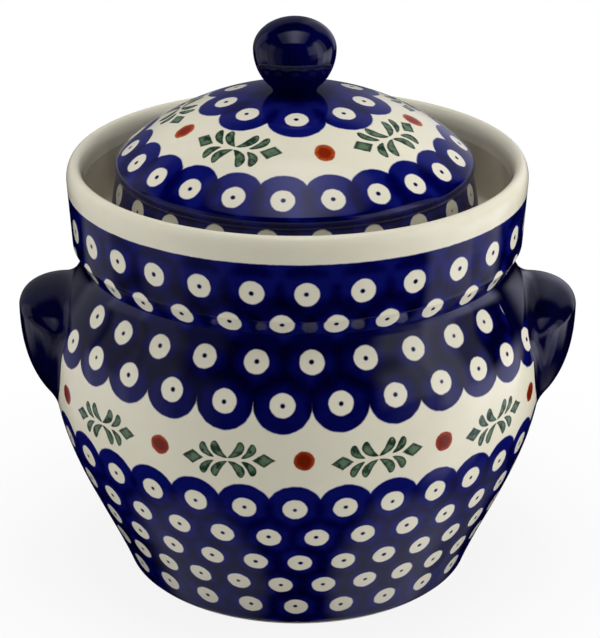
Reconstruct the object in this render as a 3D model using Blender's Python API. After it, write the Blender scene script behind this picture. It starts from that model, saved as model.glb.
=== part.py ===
"""Water-seal stoneware fermentation crock, built to real size in metres.

The crock stands on its foot ring at z = 0 with its axis on Z, and its two lugs lie along X.
The pot, the gutter collar, the lugs, the lid, its knob and the two half-moon weights are
separate solids. Neighbours keep a seam of 0.3 mm.
"""

import math

import bmesh
import bpy

SEAM = 0.0003
LATHE_SEGMENTS = 56
KNOB_SEGMENTS = 32

# Pot
FOOT_RADIUS = 0.0885
FOOT_ROUNDING = 0.0015
FOOT_RING_WIDTH = 0.012
FOOT_RECESS_DEPTH = 0.0025
FOOT_FLARE = 0.36
BELLY_RADIUS = 0.1245
BELLY_HEIGHT = 0.104
WAIST_RADIUS = 0.1075
WAIST_HEIGHT = 0.1651
SHOULDER_FULLNESS = 1.95
POT_WALL = 0.0075
FLOOR_THICKNESS = 0.009
FLOOR_CORNER = 0.012
NECK_WALL = 0.0065
NECK_RISE = 0.0295

# Gutter collar
COLLAR_RADIUS = 0.114
COLLAR_HEIGHT = 0.0491
COLLAR_WALL = 0.008
COLLAR_TAPER = 0.0018
COLLAR_CORNER_RISE = 0.009
COLLAR_CORNER_ROUNDING = 0.0022
GUTTER_FLOOR_THICKNESS = 0.0085
GUTTER_CORNER = 0.005
LIP_CROWN = 0.008

# Lid
SKIRT_CLEARANCE = 0.0137
SKIRT_FLARE = 0.0045
LID_WALL = 0.0065
NECK_CLEARANCE = 0.0068
LID_EDGE_OVERHANG = 0.001
LID_EDGE_ROUNDING = 0.005
LID_APEX_ABOVE_LIP = 0.0344
DOME_RADIUS = 0.130
VENT_WIDTH = 0.009
VENT_HEIGHT = 0.0035

# Knob
KNOB_RADIUS = 0.0203
KNOB_NECK_RADIUS = 0.0108
KNOB_SHOULDER_RADIUS = 0.0139
KNOB_SHOULDER_RISE = 0.0041
KNOB_WIDEST_RISE = 0.0208
KNOB_CROWN = 0.0152
KNOB_SEAT_RADIUS = 0.012

# Lugs
LUG_PROJECTION = 0.0163
LUG_ROOT_DEPTH = 0.0195
LUG_HALF_WIDTH = 0.0428
LUG_TOP_GAP = 0.0172
LUG_UPPER_HEIGHT = 0.018
LUG_LOWER_HEIGHT = 0.0504
LUG_RISE = 0.24
LUG_PLAN_SQUARENESS = 1.92
LUG_UPPER_SQUARENESS = 1.5
LUG_LOWER_SQUARENESS = 2.52

# Weights
WEIGHT_CLEARANCE = 0.0065
WEIGHT_THICKNESS = 0.016
WEIGHT_SPLIT = 0.004
WEIGHT_HOLE_RADIUS = 0.012
WEIGHT_EDGE = 0.0015

# Heights and radii that follow from the sizes above
COLLAR_BASE = WAIST_HEIGHT + SEAM
LIP_HEIGHT = COLLAR_BASE + COLLAR_HEIGHT
GUTTER_FLOOR = COLLAR_BASE + GUTTER_FLOOR_THICKNESS
GUTTER_RADIUS = COLLAR_RADIUS - COLLAR_WALL
SKIRT_RADIUS = GUTTER_RADIUS - SKIRT_CLEARANCE
SKIRT_TOP_RADIUS = SKIRT_RADIUS - SKIRT_FLARE
SKIRT_BASE = GUTTER_FLOOR + SEAM
NECK_RADIUS = SKIRT_RADIUS - LID_WALL - NECK_CLEARANCE
NECK_BORE = NECK_RADIUS - NECK_WALL
NECK_TOP = GUTTER_FLOOR + NECK_RISE
LID_APEX = LIP_HEIGHT + LID_APEX_ABOVE_LIP
LID_EDGE_RADIUS = SKIRT_TOP_RADIUS + LID_EDGE_OVERHANG
WEIGHT_RADIUS = NECK_BORE - WEIGHT_CLEARANCE
LUG_ROOT_RADIUS = BELLY_RADIUS - LUG_ROOT_DEPTH


def clear_scene():
    """Remove every object of the open scene."""
    for item in list(bpy.data.objects):
        bpy.data.objects.remove(item, do_unlink=True)


def glaze(name, colour, roughness):
    """Return a plain glazed or bare clay material."""
    material = bpy.data.materials.new(name)
    material.use_nodes = True
    shader = material.node_tree.nodes["Principled BSDF"]
    shader.inputs["Base Color"].default_value = (*colour, 1.0)
    shader.inputs["Roughness"].default_value = roughness
    shader.inputs["Metallic"].default_value = 0.0
    return material


def add_object(name, mesh, material):
    """Link a mesh as a named, smooth-shaded object with one material."""
    mesh.shade_smooth()
    mesh.set_sharp_from_angle(angle=math.radians(35.0))
    mesh.materials.append(material)
    item = bpy.data.objects.new(name, mesh)
    bpy.context.scene.collection.objects.link(item)
    return item


def mesh_from_bmesh(name, shape):
    """Turn a bmesh into a mesh whose faces point out."""
    bmesh.ops.recalc_face_normals(shape, faces=shape.faces)
    mesh = bpy.data.meshes.new(name)
    shape.to_mesh(mesh)
    shape.free()
    return mesh


def ellipse_arc(centre, half_axes, first_degrees, last_degrees, steps):
    """Points (radius, height) on an ellipse, from one angle to another, ends included."""
    points = []
    for step in range(steps + 1):
        angle = math.radians(first_degrees + (last_degrees - first_degrees) * step / steps)
        points.append((centre[0] + half_axes[0] * math.cos(angle),
                       centre[1] + half_axes[1] * math.sin(angle)))
    return points


def lathe(name, outline, segments):
    """Turn an outline of (radius, height) points round Z into a closed mesh.

    The outline is a closed loop, or an open line whose two ends lie on the axis.
    """
    shape = bmesh.new()
    rings = []
    for radius, height in outline:
        if radius < 1e-6:
            rings.append([shape.verts.new((0.0, 0.0, height))])
            continue
        ring = []
        for index in range(segments):
            angle = 2.0 * math.pi * index / segments
            ring.append(shape.verts.new((radius * math.cos(angle), radius * math.sin(angle), height)))
        rings.append(ring)
    closed = len(rings[0]) > 1
    pairs = list(zip(rings, rings[1:]))
    if closed:
        pairs.append((rings[-1], rings[0]))
    for lower, upper in pairs:
        for index in range(segments):
            after = (index + 1) % segments
            corners = [lower[index % len(lower)], lower[after % len(lower)],
                       upper[after % len(upper)], upper[index % len(upper)]]
            shape.faces.new(list(dict.fromkeys(corners)))
    return mesh_from_bmesh(name, shape)


def cut(item, cutter):
    """Subtract a guide solid from an object with an exact Boolean."""
    cutter.hide_render = True
    cutter.display_type = "WIRE"
    modifier = item.modifiers.new("cut_" + cutter.name, "BOOLEAN")
    modifier.operation = "DIFFERENCE"
    modifier.solver = "EXACT"
    modifier.object = cutter


def pot_radius(height):
    """Outer radius of the pot at a height between the foot and the waist."""
    if height <= BELLY_HEIGHT:
        t = height / BELLY_HEIGHT
        from_foot = 2.0 * t ** 3 - 3.0 * t ** 2 + 1.0
        flare = (t ** 3 - 2.0 * t ** 2 + t) * BELLY_HEIGHT * FOOT_FLARE
        return from_foot * FOOT_RADIUS + flare + (1.0 - from_foot) * BELLY_RADIUS
    t = min((height - BELLY_HEIGHT) / (WAIST_HEIGHT - BELLY_HEIGHT), 1.0)
    ease = 0.5 * (1.0 + math.cos(math.pi * t ** SHOULDER_FULLNESS))
    return WAIST_RADIUS + (BELLY_RADIUS - WAIST_RADIUS) * ease


def wall_heights(first, last, steps):
    """Evenly spaced heights from first to last."""
    return [first + (last - first) * step / steps for step in range(steps + 1)]


def pot_outline():
    """Outline of the pot from the middle of its base, up outside and down inside."""
    recess_radius = FOOT_RADIUS - FOOT_ROUNDING - FOOT_RING_WIDTH
    ceiling = WAIST_HEIGHT - POT_WALL
    inner_top = ceiling - FLOOR_CORNER
    lip_radius = NECK_WALL / 2.0
    outline = [(0.0, FOOT_RECESS_DEPTH), (recess_radius, FOOT_RECESS_DEPTH)]
    outline += [(recess_radius + FOOT_RECESS_DEPTH, 0.0), (FOOT_RADIUS - FOOT_ROUNDING, 0.0)]
    outline += [(pot_radius(z), z) for z in wall_heights(FOOT_ROUNDING, BELLY_HEIGHT, 7)]
    outline += [(pot_radius(z), z) for z in wall_heights(BELLY_HEIGHT, WAIST_HEIGHT, 9)[1:]]
    outline += [(NECK_RADIUS, WAIST_HEIGHT)]
    outline += ellipse_arc((NECK_RADIUS - lip_radius, NECK_TOP - lip_radius),
                           (lip_radius, lip_radius), 0.0, 180.0, 4)
    outline += ellipse_arc((NECK_BORE + POT_WALL, ceiling + POT_WALL),
                           (POT_WALL, POT_WALL), 180.0, 270.0, 2)
    corner_radius = pot_radius(inner_top) - POT_WALL - FLOOR_CORNER
    outline += ellipse_arc((corner_radius, inner_top), (FLOOR_CORNER, FLOOR_CORNER), 90.0, 0.0, 3)
    corner_height = FLOOR_THICKNESS + FLOOR_CORNER
    heights = wall_heights(inner_top, corner_height, 7)[1:-1]
    outline += [(pot_radius(z) - POT_WALL, z) for z in heights]
    corner_radius = pot_radius(corner_height) - POT_WALL - FLOOR_CORNER
    outline += ellipse_arc((corner_radius, corner_height), (FLOOR_CORNER, FLOOR_CORNER), 0.0, -90.0, 3)
    outline += [(0.0, FLOOR_THICKNESS)]
    return outline


def build_pot():
    """Pot with its foot ring, belly, shoulder and the neck inside the gutter."""
    mesh = lathe("crock_body", pot_outline(), LATHE_SEGMENTS)
    return add_object("crock_body", mesh, glaze("pot_glaze", (0.02, 0.03, 0.20), 0.12))


def collar_outline():
    """Outline of the gutter ring: its floor, tapered outer wall and rounded lip."""
    lip_centre = (COLLAR_RADIUS - COLLAR_WALL / 2.0, LIP_HEIGHT - LIP_CROWN)
    corner_radius = COLLAR_RADIUS - COLLAR_TAPER
    corner_height = COLLAR_BASE + COLLAR_CORNER_RISE
    outline = [(NECK_RADIUS + SEAM, COLLAR_BASE), (WAIST_RADIUS, COLLAR_BASE)]
    outline += ellipse_arc((corner_radius - COLLAR_CORNER_ROUNDING, corner_height),
                           (COLLAR_CORNER_ROUNDING, COLLAR_CORNER_ROUNDING), -50.0, 5.0, 3)
    outline += ellipse_arc(lip_centre, (COLLAR_WALL / 2.0, LIP_CROWN), 0.0, 180.0, 8)
    outline += ellipse_arc((GUTTER_RADIUS - GUTTER_CORNER, GUTTER_FLOOR + GUTTER_CORNER),
                           (GUTTER_CORNER, GUTTER_CORNER), 0.0, -90.0, 3)
    outline += [(NECK_RADIUS + SEAM, GUTTER_FLOOR)]
    return outline


def build_collar():
    """Collar that stands on the shoulder and makes the water gutter round the neck."""
    mesh = lathe("gutter_collar", collar_outline(), LATHE_SEGMENTS)
    return add_object("gutter_collar", mesh, glaze("collar_glaze", (0.03, 0.04, 0.22), 0.12))


def skirt_radius(height, edge_height):
    """Outer radius of the lid's skirt, which flares down from the crease to its base."""
    t = min(max((edge_height - height) / (edge_height - SKIRT_BASE), 0.0), 1.0)
    return SKIRT_TOP_RADIUS + SKIRT_FLARE * math.sin(0.5 * math.pi * t) ** 0.8


def lid_outline():
    """Outline of the lid: flat knob seat, dome, rounded edge, skirt and the inside."""
    dome_centre = LID_APEX - DOME_RADIUS
    rounding = LID_EDGE_ROUNDING
    edge_centre_radius = LID_EDGE_RADIUS - rounding
    edge_height = dome_centre + math.sqrt((DOME_RADIUS - rounding) ** 2 - edge_centre_radius ** 2)
    seat_angle = math.degrees(math.acos(KNOB_SEAT_RADIUS / DOME_RADIUS))
    edge_angle = math.degrees(math.atan2(edge_height - dome_centre, edge_centre_radius))
    crease_height = edge_height - rounding * math.sin(math.radians(35.0)) - LID_EDGE_OVERHANG
    foot_centre = (SKIRT_RADIUS - LID_WALL / 2.0, SKIRT_BASE + LID_WALL / 4.0)
    inner_radius = SKIRT_RADIUS - LID_WALL
    inner_dome = DOME_RADIUS - LID_WALL
    inner_start = SKIRT_TOP_RADIUS - LID_WALL
    inner_angle = math.degrees(math.acos(inner_start / inner_dome))
    inner_top = dome_centre + inner_dome * math.sin(math.radians(inner_angle))
    seat_height = knob_seat_height()
    outline = [(0.0, seat_height)]
    outline += ellipse_arc((0.0, dome_centre), (DOME_RADIUS, DOME_RADIUS), seat_angle, edge_angle, 8)
    outline += ellipse_arc((edge_centre_radius, edge_height), (rounding, rounding), edge_angle, -35.0, 4)[1:]
    outline += [(skirt_radius(z, crease_height), z)
                for z in wall_heights(crease_height, foot_centre[1], 6)]
    outline += ellipse_arc(foot_centre, (LID_WALL / 2.0, LID_WALL / 4.0), 0.0, -180.0, 4)[1:]
    outline += [(inner_start + (inner_radius - inner_start) * share, inner_top + (foot_centre[1] - inner_top) * share)
                for share in (0.66, 0.33)]
    outline += ellipse_arc((0.0, dome_centre), (inner_dome, inner_dome), inner_angle, 90.0, 7)[:-1]
    outline += [(0.0, dome_centre + inner_dome)]
    return outline


def knob_seat_height():
    """Height of the flat land that the knob stands on."""
    return LID_APEX - DOME_RADIUS + math.sqrt(DOME_RADIUS ** 2 - KNOB_SEAT_RADIUS ** 2)


def box_mesh(name, low, high):
    """Mesh of a box between two corners."""
    shape = bmesh.new()
    bmesh.ops.create_cube(shape, size=1.0)
    for vert in shape.verts:
        for axis in range(3):
            middle = 0.5 * (low[axis] + high[axis])
            vert.co[axis] = middle + vert.co[axis] * (high[axis] - low[axis])
    return mesh_from_bmesh(name, shape)


def build_lid():
    """Lid with two gas notches under its skirt, which stands in the gutter."""
    mesh = lathe("lid", lid_outline(), LATHE_SEGMENTS)
    lid = add_object("lid", mesh, glaze("lid_glaze", (0.62, 0.60, 0.46), 0.12))
    reach = SKIRT_RADIUS + LID_WALL
    half = VENT_WIDTH / 2.0
    notch = box_mesh("vent_guide", (-half, -reach, SKIRT_BASE - VENT_HEIGHT),
                     (half, reach, SKIRT_BASE + VENT_HEIGHT))
    cut(lid, add_object("vent_guide", notch, glaze("guide", (0.5, 0.5, 0.5), 0.5)))
    return lid


def build_knob():
    """Solid knob: short neck, flared shoulder and a flattened ball."""
    base = knob_seat_height() + SEAM
    widest = base + KNOB_WIDEST_RISE
    shoulder = base + KNOB_SHOULDER_RISE
    lower_angle = -math.degrees(math.acos(KNOB_SHOULDER_RADIUS / KNOB_RADIUS))
    lower_axis = (widest - shoulder) / math.sin(math.radians(-lower_angle))
    outline = [(0.0, base), (KNOB_NECK_RADIUS, base)]
    outline += ellipse_arc((0.0, widest), (KNOB_RADIUS, lower_axis), lower_angle, 0.0, 5)
    outline += ellipse_arc((0.0, widest), (KNOB_RADIUS, KNOB_CROWN), 0.0, 90.0, 6)[1:-1]
    outline += [(0.0, widest + KNOB_CROWN)]
    mesh = lathe("lid_knob", outline, KNOB_SEGMENTS)
    return add_object("lid_knob", mesh, glaze("knob_glaze", (0.01, 0.01, 0.10), 0.08))


def lug_point(longitude, latitude):
    """Point of a rounded lug along +X, from two angles in radians."""
    upper = latitude >= 0.0
    height = LUG_UPPER_HEIGHT if upper else LUG_LOWER_HEIGHT
    profile = 2.0 / (LUG_UPPER_SQUARENESS if upper else LUG_LOWER_SQUARENESS)
    plan = 2.0 / LUG_PLAN_SQUARENESS
    level = math.cos(latitude) ** profile
    rise = height * math.copysign(abs(math.sin(latitude)) ** profile, latitude)
    across = math.copysign(abs(math.sin(longitude)) ** plan, math.sin(longitude))
    along = math.copysign(abs(math.cos(longitude)) ** plan, math.cos(longitude))
    reach = (LUG_ROOT_DEPTH + LUG_PROJECTION) * along * level
    crest = WAIST_HEIGHT - LUG_TOP_GAP - LUG_UPPER_HEIGHT
    return (LUG_ROOT_RADIUS + reach, LUG_HALF_WIDTH * across * level, crest + rise + LUG_RISE * reach)


def lug_mesh(name, side):
    """Closed rounded lug on one side of the pot, still running into its wall."""
    around = 28
    rings_up = 16
    shape = bmesh.new()
    rings = []
    for row in range(rings_up + 1):
        latitude = math.pi * (row / rings_up - 0.5)
        if row in (0, rings_up):
            x, y, z = lug_point(0.0, math.copysign(math.pi / 2.0, latitude))
            rings.append([shape.verts.new((side * LUG_ROOT_RADIUS, 0.0, z))])
            continue
        ring = []
        for column in range(around):
            x, y, z = lug_point(2.0 * math.pi * column / around, latitude)
            ring.append(shape.verts.new((side * x, y, z)))
        rings.append(ring)
    for lower, upper in zip(rings, rings[1:]):
        for column in range(around):
            after = (column + 1) % around
            corners = [lower[column % len(lower)], lower[after % len(lower)],
                       upper[after % len(upper)], upper[column % len(upper)]]
            shape.faces.new(list(dict.fromkeys(corners)))
    return mesh_from_bmesh(name, shape)


def pot_envelope():
    """Guide solid just larger than the pot's outside, which trims the lugs to its wall."""
    heights = wall_heights(FOOT_ROUNDING, BELLY_HEIGHT, 7)
    heights += wall_heights(BELLY_HEIGHT, WAIST_HEIGHT, 9)[1:]
    outline = [(0.0, heights[0])]
    outline += [(pot_radius(z) + SEAM, z) for z in heights]
    outline += [(0.0, heights[-1])]
    mesh = lathe("pot_guide", outline, LATHE_SEGMENTS)
    return add_object("pot_guide", mesh, glaze("guide", (0.5, 0.5, 0.5), 0.5))


def build_lugs():
    """Two solid lifting lugs, shaped to the pot's shoulder."""
    envelope = pot_envelope()
    for name, side in (("lug_left", -1.0), ("lug_right", 1.0)):
        lug = add_object(name, lug_mesh(name, side), glaze(name + "_glaze", (0.01, 0.01, 0.09), 0.08))
        cut(lug, envelope)


def weight_outline(side):
    """Plan outline of a half-moon weight with half of the finger hole in its straight edge."""
    half_split = WEIGHT_SPLIT / 2.0
    outer_angle = math.acos(half_split / WEIGHT_RADIUS)
    hole_angle = math.acos(half_split / WEIGHT_HOLE_RADIUS)
    points = []
    for step in range(25):
        angle = -outer_angle + 2.0 * outer_angle * step / 24
        points.append((side * WEIGHT_RADIUS * math.cos(angle), WEIGHT_RADIUS * math.sin(angle)))
    for step in range(9):
        angle = hole_angle - 2.0 * hole_angle * step / 8
        points.append((side * WEIGHT_HOLE_RADIUS * math.cos(angle), WEIGHT_HOLE_RADIUS * math.sin(angle)))
    return points


def build_weight(name, side):
    """Half-moon weight that lies on the pot's floor."""
    base = FLOOR_THICKNESS + SEAM
    shape = bmesh.new()
    corners = [shape.verts.new((x, y, base)) for x, y in weight_outline(side)]
    face = shape.faces.new(corners)
    grown = bmesh.ops.extrude_face_region(shape, geom=[face])
    raised = [item for item in grown["geom"] if isinstance(item, bmesh.types.BMVert)]
    bmesh.ops.translate(shape, vec=(0.0, 0.0, WEIGHT_THICKNESS), verts=raised)
    weight = add_object(name, mesh_from_bmesh(name, shape), glaze(name + "_clay", (0.55, 0.50, 0.40), 0.55))
    bevel = weight.modifiers.new("soft_edges", "BEVEL")
    bevel.width = WEIGHT_EDGE
    bevel.segments = 2
    bevel.limit_method = "ANGLE"
    bevel.angle_limit = math.radians(40.0)
    return weight


def build_crock():
    """Build every piece of the crock."""
    clear_scene()
    build_pot()
    build_collar()
    build_lugs()
    build_lid()
    build_knob()
    build_weight("weight_left", -1.0)
    build_weight("weight_right", 1.0)


build_crock()
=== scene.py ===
"""Looks of the water-seal fermentation crock: turned pieces, stamped glaze, studio and camera."""

import logging
import math
from dataclasses import dataclass, field
from enum import Enum
from typing import Sequence, Union

import bmesh
import bpy
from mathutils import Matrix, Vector


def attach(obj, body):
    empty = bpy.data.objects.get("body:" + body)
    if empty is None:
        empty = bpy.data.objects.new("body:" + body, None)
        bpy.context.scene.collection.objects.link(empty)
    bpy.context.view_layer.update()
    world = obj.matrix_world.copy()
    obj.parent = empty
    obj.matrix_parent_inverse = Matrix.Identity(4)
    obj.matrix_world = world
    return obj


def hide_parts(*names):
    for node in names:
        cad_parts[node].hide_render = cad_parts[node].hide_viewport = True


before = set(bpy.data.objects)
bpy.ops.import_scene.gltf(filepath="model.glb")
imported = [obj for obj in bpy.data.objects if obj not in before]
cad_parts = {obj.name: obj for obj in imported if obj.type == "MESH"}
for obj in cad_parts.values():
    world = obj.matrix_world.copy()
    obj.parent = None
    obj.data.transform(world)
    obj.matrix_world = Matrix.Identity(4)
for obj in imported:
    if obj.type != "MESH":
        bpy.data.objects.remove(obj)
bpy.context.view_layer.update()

log = logging.getLogger("crock")

SEAM = 0.0003
LATHE_SEGMENTS = 192
KNOB_SEGMENTS = 96
FILLET_STEPS = 10
ON_AXIS = 1e-6
PHOTO_SIZE = (600, 638)
MILLIMETRES = 1000.0
DEGREES = 180.0 / math.pi
RADIANS = math.pi / 180.0

# Noise over the ware: features in a millimetre, octaves and their strength.
RAGGED_NOISE = (0.3, 2.0, 0.5)
GRAIN_NOISE = (0.55, 3.0, 0.6)
PATCH_NOISE = (0.12, 2.0, 0.55)
SAND_NOISE = (2.2, 3.0, 0.7)
SPECK_NOISE = (0.9, 1.0)

# Where a print of leaves or berries fades in, in millimetres outside its outline.
LEAF_RIM = (0.35, -0.3)
LEAF_HEART = (0.0, -1.4)
BERRY_RIM = (0.4, -0.35)
BERRY_HEART = (-2.6, -0.4)
WORN_NOISE = (-0.16, 0.10)

# How far a brushed edge wanders with the ragged noise, in millimetres.
BRUSH_WANDER = 0.5

# The width that the strip which closes an outline takes in the unrolled map, in metres.
CLOSING_STRIP = 0.01

Point = tuple[float, float]
Colour = tuple[float, float, float]
Number = Union[float, int, "Signal"]


class Side(Enum):
    """Which side of the crock a paired piece is on."""

    LEFT = -1.0
    RIGHT = 1.0

    @property
    def word(self) -> str:
        """Name of the side as node names spell it."""
        return self.name.lower()


class Direction(Enum):
    """Whether a band of paint is measured up the ware or out from its axis."""

    UP = "up"
    OUT = "out"


# Shader maths


class Signal:
    """A number that changes over a surface, written as Python arithmetic."""

    def __init__(self, sketch: "ShaderSketch", socket: bpy.types.NodeSocket) -> None:
        """Keep the node tree and the output socket that gives the number.

        Args:
            sketch: The node tree that the arithmetic is added to.
            socket: The output that holds this number.
        """
        self.sketch = sketch
        self.socket = socket

    def _maths(self, operation: str, *others: Number) -> "Signal":
        """Return a Math node's result on this number and others.

        Args:
            operation: The Math node's operation.
            others: The other numbers.

        Returns:
            The result.
        """
        return self.sketch.maths(operation, self, *others)

    def __add__(self, other: Number) -> "Signal":
        """Return the sum."""
        return self._maths("ADD", other)

    def __radd__(self, other: Number) -> "Signal":
        """Return the sum, with this number second."""
        return self.sketch.maths("ADD", other, self)

    def __sub__(self, other: Number) -> "Signal":
        """Return the difference."""
        return self._maths("SUBTRACT", other)

    def __rsub__(self, other: Number) -> "Signal":
        """Return the difference, with this number second."""
        return self.sketch.maths("SUBTRACT", other, self)

    def __mul__(self, other: Number) -> "Signal":
        """Return the product."""
        return self._maths("MULTIPLY", other)

    def __rmul__(self, other: Number) -> "Signal":
        """Return the product, with this number second."""
        return self.sketch.maths("MULTIPLY", other, self)

    def __truediv__(self, other: Number) -> "Signal":
        """Return the quotient."""
        return self._maths("DIVIDE", other)

    def __rtruediv__(self, other: Number) -> "Signal":
        """Return the quotient, with this number as the divisor."""
        return self.sketch.maths("DIVIDE", other, self)

    def __pow__(self, other: Number) -> "Signal":
        """Return this number raised to a power."""
        return self._maths("POWER", other)

    def __rpow__(self, other: Number) -> "Signal":
        """Return a base raised to this number."""
        return self.sketch.maths("POWER", other, self)

    def __neg__(self) -> "Signal":
        """Return the number with its sign changed."""
        return self._maths("MULTIPLY", -1.0)

    def __abs__(self) -> "Signal":
        """Return the number without its sign."""
        return self._maths("ABSOLUTE")

    def sine(self) -> "Signal":
        """Return the sine of this angle in radians."""
        return self._maths("SINE")

    def cosine(self) -> "Signal":
        """Return the cosine of this angle in radians."""
        return self._maths("COSINE")

    def root(self) -> "Signal":
        """Return the square root."""
        return self._maths("SQRT")

    def sign(self) -> "Signal":
        """Return -1, 0 or 1."""
        return self._maths("SIGN")

    def rounded(self) -> "Signal":
        """Return the nearest whole number."""
        return self._maths("ROUND")

    def wrapped(self, span: float) -> "Signal":
        """Return the remainder from dividing by a span, never negative."""
        return self._maths("FLOORED_MODULO", span)

    def most(self, other: Number) -> "Signal":
        """Return the larger of two numbers."""
        return self._maths("MAXIMUM", other)

    def least(self, other: Number) -> "Signal":
        """Return the smaller of two numbers."""
        return self._maths("MINIMUM", other)

    def clamped(self) -> "Signal":
        """Return the number held between 0 and 1."""
        return self.sketch.maths("ADD", self, 0.0, clamp=True)


Paint = Union[Colour, bpy.types.NodeSocket]


class ShaderSketch:
    """A node tree drawn up from Python."""

    def __init__(self, tree: bpy.types.NodeTree) -> None:
        """Take a node tree over and empty it.

        Args:
            tree: The material's or the world's node tree.
        """
        self.tree = tree
        tree.nodes.clear()

    def node(self, kind: str, settings: dict | None = None,
             inputs: dict | None = None) -> bpy.types.Node:
        """Add any node: its settings first, then its inputs.

        Args:
            kind: The node's type.
            settings: Attributes by name; "stops" holds a colour ramp's (place, colour) pairs.
            inputs: Values, signals or sockets by input name or number.

        Returns:
            The new node.
        """
        made = self.tree.nodes.new(kind)
        for name, value in (settings or {}).items():
            if name == "stops":
                self._set_stops(made, value)
            else:
                setattr(made, name, value)
        for key, value in (inputs or {}).items():
            self._feed(made.inputs[key], value)
        return made

    @staticmethod
    def _set_stops(ramp_node: bpy.types.Node, stops: Sequence[tuple[float, Colour]]) -> None:
        """Give a colour ramp its stops.

        Args:
            ramp_node: The Color Ramp node.
            stops: Pairs of place and colour, in rising order.
        """
        elements = ramp_node.color_ramp.elements
        while len(elements) > 1:
            elements.remove(elements[-1])
        elements[0].position = stops[0][0]
        elements[0].color = (*stops[0][1], 1.0)
        for place, colour in stops[1:]:
            elements.new(place).color = (*colour, 1.0)

    def _feed(self, socket: bpy.types.NodeSocket, value: object) -> None:
        """Link or set one input.

        Args:
            socket: The input.
            value: A signal, an output socket, a number, a colour or a vector.
        """
        if isinstance(value, Signal):
            value = value.socket
        if isinstance(value, bpy.types.NodeSocket):
            self.tree.links.new(value, socket)
        elif socket.type == "RGBA" and len(value) == 3:
            socket.default_value = (*value, 1.0)
        else:
            socket.default_value = value

    def maths(self, operation: str, *numbers: Number, clamp: bool = False) -> Signal:
        """Add a Math node.

        Args:
            operation: What the node does.
            numbers: One to three numbers or signals.
            clamp: Whether the result is held between 0 and 1.

        Returns:
            The node's result.
        """
        made = self.node("ShaderNodeMath", {"operation": operation, "use_clamp": clamp},
                         dict(enumerate(numbers)))
        return Signal(self, made.outputs[0])

    def parts(self, vector: bpy.types.NodeSocket) -> tuple[Signal, Signal, Signal]:
        """Return a vector's three parts as signals."""
        made = self.node("ShaderNodeSeparateXYZ", inputs={0: vector})
        return tuple(Signal(self, output) for output in made.outputs)

    def scaled(self, vector: bpy.types.NodeSocket, factor: float) -> bpy.types.NodeSocket:
        """Return a vector times a number."""
        made = self.node("ShaderNodeVectorMath", {"operation": "SCALE"},
                         {0: vector, "Scale": factor})
        return made.outputs[0]

    def ramped(self, value: Signal, first: float, last: float) -> Signal:
        """Return an eased step from 0 to 1 while a signal goes from one number to another.

        Args:
            value: The signal.
            first: Where the step is still 0.
            last: Where it reaches 1; it may be below first.

        Returns:
            The step, from 0 to 1.
        """
        rising = first < last
        made = self.node("ShaderNodeMapRange", {"interpolation_type": "SMOOTHSTEP"}, {
            "Value": value, "From Min": min(first, last), "From Max": max(first, last),
            "To Min": 0.0 if rising else 1.0, "To Max": 1.0 if rising else 0.0})
        return Signal(self, made.outputs[0])

    def between(self, value: Signal, first: float, last: float, edge: float) -> Signal:
        """Return 1 where a signal lies between two numbers, with soft edges.

        Args:
            value: The signal.
            first: The lower number.
            last: The upper number.
            edge: How far the step reaches to either side of each number.

        Returns:
            The share, from 0 to 1.
        """
        return (self.ramped(value, first - edge, first + edge)
                * self.ramped(value, last + edge, last - edge))

    def inside(self, distance: Signal, reach: float, softness: float) -> Signal:
        """Return 1 where a distance is within a reach, with a soft edge."""
        return self.ramped(distance, reach + softness, reach - softness)

    def cloud(self, vector: bpy.types.NodeSocket, scale: float, detail: float = 2.0,
              roughness: float = 0.5) -> Signal:
        """Return smooth noise between 0 and 1.

        Args:
            vector: Where the noise is read.
            scale: How many features fit in one unit.
            detail: How many finer octaves are added.
            roughness: How strong these are.

        Returns:
            The noise.
        """
        made = self.node("ShaderNodeTexNoise", {"noise_dimensions": "3D"},
                         {"Vector": vector, "Scale": scale, "Detail": detail,
                          "Roughness": roughness})
        return Signal(self, made.outputs[0])

    def luck(self, number: Signal) -> tuple[Signal, Signal, Signal]:
        """Return three chance numbers from -0.5 to 0.5 that belong to a whole number."""
        made = self.node("ShaderNodeTexWhiteNoise", {"noise_dimensions": "1D"}, {"W": number})
        return tuple(part - 0.5 for part in self.parts(made.outputs["Color"]))

    def blend(self, share: Number, first: Paint, second: Paint) -> bpy.types.NodeSocket:
        """Return a mix of two colours.

        Args:
            share: How much of the second colour there is.
            first: The colour at 0.
            second: The colour at 1.

        Returns:
            The mixed colour.
        """
        made = self.node("ShaderNodeMix", {"data_type": "RGBA", "clamp_factor": True},
                         {0: share, 6: first, 7: second})
        return made.outputs[2]

    def bumped(self, height: Signal, depth: float, strength: float = 1.0,
               under: bpy.types.NodeSocket | None = None) -> bpy.types.NodeSocket:
        """Return a normal raised by a height signal.

        Args:
            height: The relief, from 0 to 1.
            depth: How deep the relief is, in metres.
            strength: How much of it shows.
            under: A normal that it is laid on.

        Returns:
            The bumped normal.
        """
        inputs = {"Height": height, "Distance": depth, "Strength": strength}
        if under is not None:
            inputs["Normal"] = under
        return self.node("ShaderNodeBump", inputs=inputs).outputs[0]


def new_material(name: str) -> tuple[bpy.types.Material, ShaderSketch]:
    """Return an empty node material and the sketch of its tree."""
    material = bpy.data.materials.new(name)
    material.use_nodes = True
    return material, ShaderSketch(material.node_tree)


# Decoration, in millimetres and degrees from the front


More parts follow.
